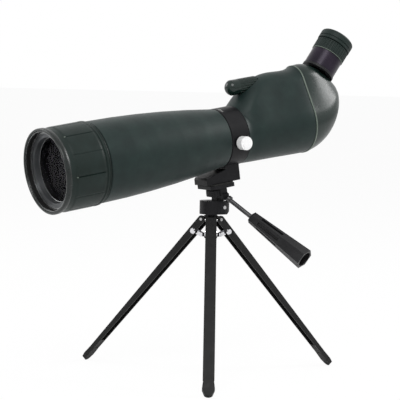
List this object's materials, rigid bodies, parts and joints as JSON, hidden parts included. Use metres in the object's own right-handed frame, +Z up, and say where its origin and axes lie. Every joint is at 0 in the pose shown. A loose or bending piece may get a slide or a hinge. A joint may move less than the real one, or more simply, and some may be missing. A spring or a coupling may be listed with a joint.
{
  "type": "spotting scope",
  "caption": "Angled zoom spotting scope with green rubber armour, turning collar and lock knob, on a small folding table tripod with pan and tilt head.",
  "frame": {"origin": "on the floor under the axis of the tripod's column", "axes": "+Z up; the objective looks along -Y, pitched a little down; the lock knob and the pan handle are on the +X side"},
  "size_m": [0.2803, 0.3945, 0.3779],
  "materials": {
    "green_rubber": "soft matt rubber armour",
    "hood_rubber": "ribbed matt rubber",
    "black_metal": "satin black paint",
    "leg_paint": "fine wrinkled black powder coat",
    "black_plastic": "moulded black plastic",
    "barrel_coat": "purple black anodised metal",
    "grip_rubber": "ribbed rubber",
    "trim": "pale grey-green trim",
    "silver": "satin silver",
    "steel": "plain steel",
    "chrome": "bright chrome",
    "rod_steel": "blackened steel rod",
    "brass": "turned brass",
    "foot_rubber": "black rubber",
    "coated_glass": "coated optical glass"
  },
  "bodies": {
    "tripod": {"column": "black_metal", "column_cap": "black_plastic", "leg_hub": "black_metal", "leg_pins": "steel"},
    "pan": {"pan_block": "black_metal", "tilt_pin": "steel"},
    "tilt": {"tilt_yoke": "black_metal", "platform_plate": "black_metal", "platform_pad": "foot_rubber", "mount_collar": "black_metal", "foot_insert": "brass"},
    "wheel": {"thumb_wheel": "black_plastic", "camera_screw": "steel"},
    "handle": {"handle_rod": "rod_steel", "handle_grip": "black_plastic"},
    "lock": {"lock_knob": "silver", "lock_screw": "steel"},
    "scope": {"main_tube": "black_metal", "hood_ring": "silver", "front_armour": "green_rubber", "lens_cell": "black_metal", "retaining_ring": "black_metal", "crown_lens": "coated_glass", "flint_lens": "coated_glass", "prism_housing": "green_rubber", "seam_trim": "trim", "rear_cap": "green_rubber", "prism_shelf": "black_plastic", "erecting_prism": "coated_glass", "eyepiece_base": "black_plastic", "eyepiece_barrel": "barrel_coat", "eye_lens": "coated_glass"},
    "hood": {"sun_hood": "hood_rubber"},
    "focus": {"focus_knob": "grip_rubber", "focus_screw": "steel"},
    "carriage": {"focus_carriage": "black_plastic", "focus_lens": "coated_glass"},
    "zoom": {"zoom_ring": "grip_rubber"},
    "zoom_lenses": {"zoom_carriage": "black_plastic", "zoom_lens": "coated_glass"},
    "eyecup": {"eyecup": "grip_rubber"},
    "runner": {"runner": "black_metal"},
    "leg_1": {"leg_1": "leg_paint", "rivet_1": "chrome", "foot_1": "foot_rubber"},
    "link_1": {"link_1": "chrome"},
    "leg_2": {"leg_2": "leg_paint", "rivet_2": "chrome", "foot_2": "foot_rubber"},
    "link_2": {"link_2": "chrome"},
    "leg_3": {"leg_3": "leg_paint", "rivet_3": "chrome", "foot_3": "foot_rubber"},
    "link_3": {"link_3": "chrome"}
  },
  "joints": [
    {"name": "pan", "type": "hinge", "parent": "tripod", "child": "pan", "pos_m": [0, 0, 0.175], "axis": [0, 0, 1], "continuous": true},
    {"name": "tilt", "type": "hinge", "parent": "pan", "child": "tilt", "pos_m": [0, 0.009, 0.1815], "axis": [1, 0, 0], "range_deg": [-38, 13]},
    {"name": "thumb_wheel_turn", "type": "hinge", "parent": "tilt", "child": "wheel", "pos_m": [0, 0.009, 0.1815], "axis": [0, -0.1583, 0.9874], "continuous": true},
    {"name": "handle_turn", "type": "hinge", "parent": "tilt", "child": "handle", "pos_m": [0.0174, 0.0071, 0.19335], "axis": [0.7641, 0.3668, -0.5307], "range_deg": [-360, 0]},
    {"name": "lock_turn", "type": "hinge", "parent": "tilt", "child": "lock", "pos_m": [0, 0.01435, 0.25234], "axis": [1, 0, 0], "range_deg": [-180, 0]},
    {"name": "scope_turn", "type": "hinge", "parent": "tilt", "child": "scope", "pos_m": [0, -0.00273, 0.25467], "axis": [0, 0.9874, 0.1583], "continuous": true},
    {"name": "hood_slide", "type": "slide", "parent": "scope", "child": "hood", "axis": [0, -0.9874, -0.1583], "range_m": [0, 0.025]},
    {"name": "focus_turn", "type": "hinge", "parent": "scope", "child": "focus", "pos_m": [0, -0.01081, 0.30502], "axis": [0, 0.9874, 0.1583], "range_deg": [-360, 360]},
    {"name": "focus_slide", "type": "slide", "parent": "scope", "child": "carriage", "axis": [0, 0.9874, 0.1583], "range_m": [-0.005, 0.005]},
    {"name": "zoom_turn", "type": "hinge", "parent": "scope", "child": "zoom", "pos_m": [0, 0.14972, 0.34509], "axis": [0, 0.5862, 0.8101], "range_deg": [0, 150]},
    {"name": "zoom_slide", "type": "slide", "parent": "scope", "child": "zoom_lenses", "axis": [0, 0.5862, 0.8101], "range_m": [0, 0.0121]},
    {"name": "eyecup_slide", "type": "slide", "parent": "scope", "child": "eyecup", "axis": [0, 0.5862, 0.8101], "range_m": [0, 0.006]},
    {"name": "leg_1_fold", "type": "hinge", "parent": "tripod", "child": "leg_1", "pos_m": [0.00748, -0.005, 0.168], "axis": [0.5557, 0.8314, 0], "range_deg": [0, 36]},
    {"name": "link_1_fold", "type": "hinge", "parent": "leg_1", "child": "link_1", "pos_m": [0.01621, -0.01084, 0.15463], "axis": [0.5557, 0.8314, 0], "range_deg": [-110, 0]},
    {"name": "leg_2_fold", "type": "hinge", "parent": "tripod", "child": "leg_2", "pos_m": [0.00059, 0.00898, 0.168], "axis": [-0.9978, 0.0656, 0], "range_deg": [0, 36]},
    {"name": "link_2_fold", "type": "hinge", "parent": "leg_2", "child": "link_2", "pos_m": [0.00128, 0.01946, 0.15463], "axis": [-0.9978, 0.0656, 0], "range_deg": [-110, 0]},
    {"name": "leg_3_fold", "type": "hinge", "parent": "tripod", "child": "leg_3", "pos_m": [-0.00807, -0.00398, 0.168], "axis": [0.4421, -0.8969, 0], "range_deg": [0, 36]},
    {"name": "link_3_fold", "type": "hinge", "parent": "leg_3", "child": "link_3", "pos_m": [-0.01749, -0.00862, 0.15463], "axis": [0.4421, -0.8969, 0], "range_deg": [-110, 0]},
    {"name": "runner_slide", "type": "slide", "parent": "tripod", "child": "runner", "axis": [0, 0, -1], "range_m": [0, 0.0097]}
  ],
  "couplings": [
    {"joint": "focus_slide", "follows": "focus_turn", "m_per_rad": 0.00079},
    {"joint": "zoom_slide", "follows": "zoom_turn", "m_per_rad": 0.00458},
    {"joint": "link_1_fold", "follows": "leg_1_fold", "ratio": -3.049},
    {"joint": "leg_2_fold", "follows": "leg_1_fold", "ratio": 1},
    {"joint": "link_2_fold", "follows": "leg_1_fold", "ratio": -3.049},
    {"joint": "leg_3_fold", "follows": "leg_1_fold", "ratio": 1},
    {"joint": "link_3_fold", "follows": "leg_1_fold", "ratio": -3.049},
    {"joint": "runner_slide", "follows": "leg_1_fold", "m_per_rad": 0.015244}
  ]
}
